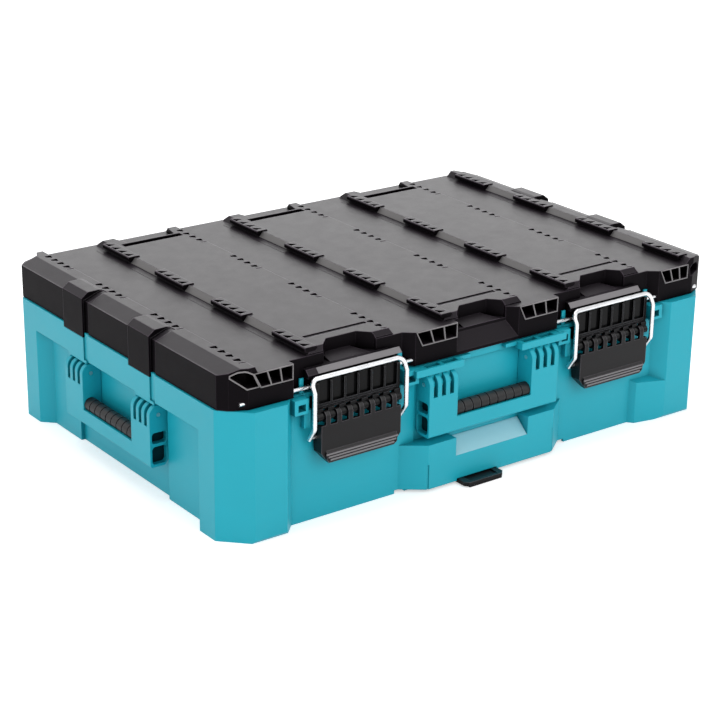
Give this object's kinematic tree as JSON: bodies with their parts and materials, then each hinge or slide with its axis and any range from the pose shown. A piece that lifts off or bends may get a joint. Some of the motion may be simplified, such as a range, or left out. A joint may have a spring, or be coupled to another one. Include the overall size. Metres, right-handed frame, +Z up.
{
  "type": "stackable tool case",
  "caption": "Shallow plastic tool case with a hinged stackable lid, draw latches with wire bails, fold-down handles and a sliding stacking lock",
  "frame": {"origin": "middle of the case's footprint, on the surface it stands on", "axes": "+X along the front towards the right, -Y out of the front, +Z up"},
  "size_m": [0.606, 0.427, 0.1682],
  "materials": {
    "tub_plastic": "moulded teal plastic with a fine satin grain",
    "lid_plastic": "charcoal moulded plastic with a fine grain",
    "latch_plastic": "black semi-gloss moulded plastic",
    "black_plastic": "black satin moulded plastic",
    "grip_rubber": "soft black rubber",
    "zinc_wire": "bright zinc-plated steel wire",
    "steel_pin": "plain steel"
  },
  "bodies": {
    "base": {"base_shell": "tub_plastic", "lock_guide": "black_plastic", "lock_spring": "zinc_wire", "hinge_pin_left": "steel_pin", "hinge_pin_right": "steel_pin", "latch_bracket_left": "latch_plastic", "latch_bracket_right": "latch_plastic", "latch_pin_left": "steel_pin", "latch_pin_right": "steel_pin"},
    "lid": {"lid_shell": "lid_plastic", "lid_seal": "grip_rubber", "keeper_rod_left": "zinc_wire", "keeper_rod_right": "zinc_wire"},
    "latch_left": {"latch_lever_left": "black_plastic"},
    "latch_right": {"latch_lever_right": "black_plastic"},
    "bail_left": {"latch_bail_left": "zinc_wire"},
    "bail_right": {"latch_bail_right": "zinc_wire"},
    "front_handle": {"front_handle_frame": "tub_plastic", "front_handle_grip": "grip_rubber", "front_handle_pins": "steel_pin"},
    "left_handle": {"left_handle_frame": "tub_plastic", "left_handle_grip": "grip_rubber", "left_handle_pins": "steel_pin"},
    "right_handle": {"right_handle_frame": "tub_plastic", "right_handle_grip": "grip_rubber", "right_handle_pins": "steel_pin"},
    "lock": {"lock_tab": "black_plastic"}
  },
  "joints": [
    {"name": "lid_hinge", "type": "hinge", "parent": "base", "child": "lid", "pos_m": [0, 0.208, 0.128], "axis": [-1, 0, 0], "range_deg": [0, 105]},
    {"name": "latch_left_lever", "type": "hinge", "parent": "base", "child": "latch_left", "pos_m": [-0.157, -0.193, 0.1055], "axis": [-1, 0, 0], "range_deg": [0, 110]},
    {"name": "latch_left_bail", "type": "hinge", "parent": "latch_left", "child": "bail_left", "pos_m": [-0.157, -0.1895, 0.0855], "axis": [-1, 0, 0], "range_deg": [-110, 0]},
    {"name": "latch_right_lever", "type": "hinge", "parent": "base", "child": "latch_right", "pos_m": [0.157, -0.193, 0.1055], "axis": [-1, 0, 0], "range_deg": [0, 110]},
    {"name": "latch_right_bail", "type": "hinge", "parent": "latch_right", "child": "bail_right", "pos_m": [0.157, -0.1895, 0.0855], "axis": [-1, 0, 0], "range_deg": [-110, 0]},
    {"name": "front_handle_swing", "type": "hinge", "parent": "base", "child": "front_handle", "pos_m": [0, -0.191, 0.1085], "axis": [-1, 0, 0], "range_deg": [0, 95]},
    {"name": "left_handle_swing", "type": "hinge", "parent": "base", "child": "left_handle", "pos_m": [-0.2935, 0.013, 0.0865], "axis": [0, 1, 0], "range_deg": [0, 95]},
    {"name": "right_handle_swing", "type": "hinge", "parent": "base", "child": "right_handle", "pos_m": [0.2935, 0.013, 0.0865], "axis": [0, -1, 0], "range_deg": [0, 95]},
    {"name": "lock_slide", "type": "slide", "parent": "base", "child": "lock", "axis": [0, -1, 0], "range_m": [0, 0.008], "stiffness_N_per_m": 300}
  ],
  "couplings": [
    {"joint": "latch_left_bail", "follows": "latch_left_lever", "ratio": -1},
    {"joint": "latch_right_bail", "follows": "latch_right_lever", "ratio": -1}
  ]
}
